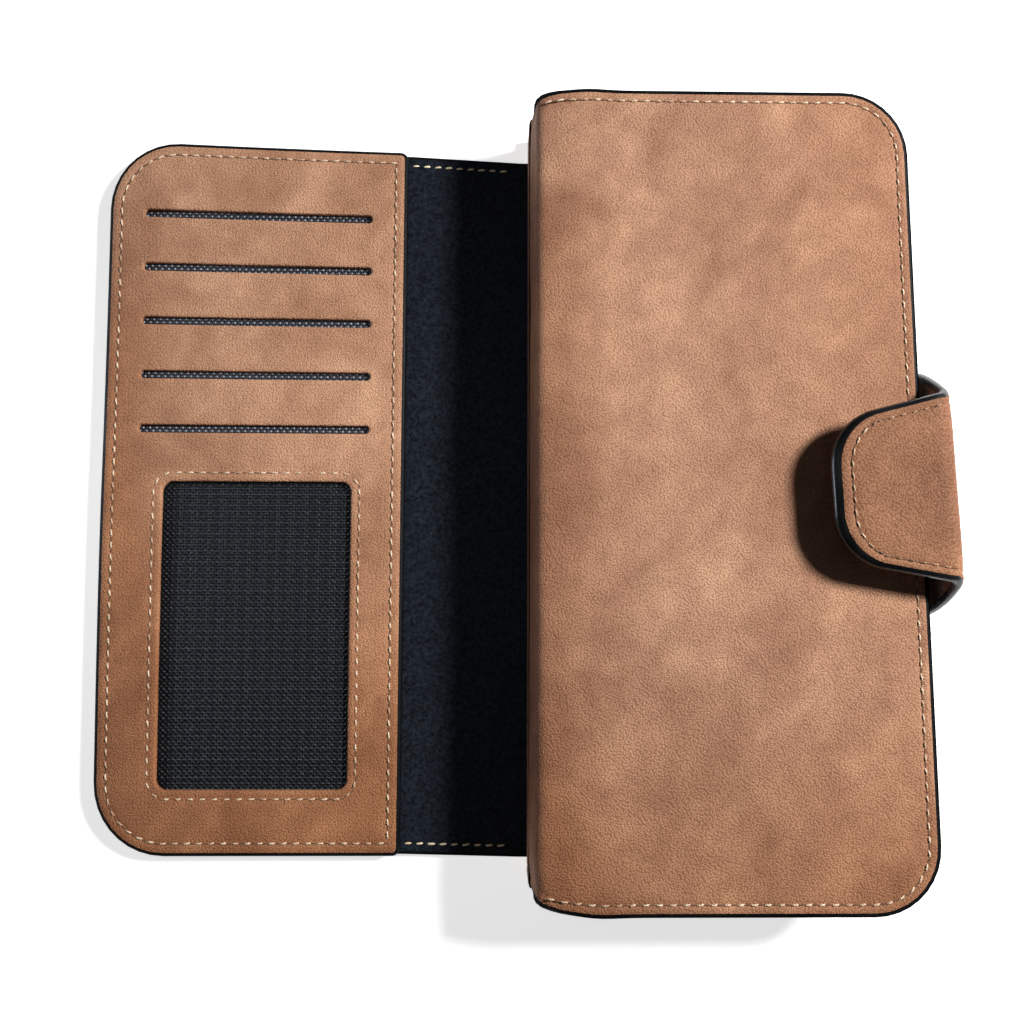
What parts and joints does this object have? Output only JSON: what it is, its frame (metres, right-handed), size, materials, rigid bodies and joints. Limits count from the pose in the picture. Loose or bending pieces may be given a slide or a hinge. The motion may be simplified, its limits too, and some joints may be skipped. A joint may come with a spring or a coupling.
{
  "type": "phone case",
  "caption": "Folding wallet case for a phone: soft tray between a back and a front leaf, a card wing on a wide fold strip, and a closing strap with a rounded tab.",
  "frame": {"origin": "centre of the back cover's resting face, under the phone tray", "axes": "+X from the card wing towards the strap, +Y towards the case's upper end, +Z from the back towards the front leaf"},
  "size_m": [0.1972, 0.186, 0.0336],
  "materials": {
    "leather": "mottled tan brown, finely pebbled, matt",
    "panel_leather": "mottled tan brown with a fine cross-hatched grain, matt",
    "lining": "black microfibre",
    "mesh": "black coated basket weave, slightly glossy",
    "board": "grey fibre board",
    "tray": "black soft moulded plastic, satin",
    "steel": "plain steel",
    "thread": "cream waxed thread",
    "edge_paint": "glossy black edge paint"
  },
  "bodies": {
    "root": {"back_cover_leather": "leather", "back_board": "board", "back_magnet_lower": "steel", "back_magnet_upper": "steel", "strap_base": "leather", "back_lining": "lining", "phone_tray": "tray", "tray_plate": "steel"},
    "inner_spine": {"spine_leather": "leather", "spine_lining": "lining"},
    "front_leaf": {"front_leaf_leather": "leather", "front_leaf_board": "board", "front_leaf_lining": "lining", "leaf_pocket_1": "panel_leather", "leaf_pocket_2": "panel_leather", "leaf_pocket_3": "panel_leather"},
    "wing_strip": {"strip_leather": "leather", "strip_lining": "lining"},
    "wing": {"wing_leather": "leather", "wing_board": "board", "wing_snap_plate": "steel", "card_pocket_1": "mesh", "card_pocket_2": "mesh", "card_pocket_3": "mesh", "card_pocket_4": "mesh", "card_pocket_5": "mesh", "id_window_mesh": "mesh", "card_panel": "panel_leather"},
    "strap_side": {"strap_side_lining": "leather", "strap_side_leather": "leather"},
    "strap_tab": {"strap_tab_lining": "leather", "strap_tab_core": "board", "strap_tab_leather": "leather"}
  },
  "joints": [
    {"name": "strip_fold", "type": "hinge", "parent": "root", "child": "wing_strip", "pos_m": [-0.0461, 0, 0.001], "axis": [0, -1, 0], "range_deg": [-90, 0]},
    {"name": "wing_fold", "type": "hinge", "parent": "wing_strip", "child": "wing", "pos_m": [-0.0743, 0, 0.001], "axis": [0, -1, 0], "range_deg": [-90, 0]},
    {"name": "spine_fold", "type": "hinge", "parent": "root", "child": "inner_spine", "pos_m": [-0.04325, 0, 0.006], "axis": [0, -1, 0], "range_deg": [0, 90], "deforming": ["spine_leather", "spine_lining"]},
    {"name": "leaf_fold", "type": "hinge", "parent": "inner_spine", "child": "front_leaf", "pos_m": [-0.04325, 0, 0.024], "axis": [0, -1, 0], "range_deg": [0, 90]},
    {"name": "strap_lift", "type": "hinge", "parent": "root", "child": "strap_side", "pos_m": [0.04785, 0, 0.003], "axis": [0, 1, 0], "range_deg": [0, 90], "deforming": ["strap_side_lining", "strap_side_leather"]},
    {"name": "tab_fold", "type": "hinge", "parent": "strap_side", "child": "strap_tab", "pos_m": [0.04785, 0, 0.0321], "axis": [0, 1, 0], "range_deg": [0, 90], "deforming": ["strap_tab_lining", "strap_tab_core", "strap_tab_leather"]}
  ],
  "couplings": [
    {"joint": "wing_fold", "follows": "strip_fold", "ratio": 1},
    {"joint": "leaf_fold", "follows": "spine_fold", "ratio": 1}
  ]
}
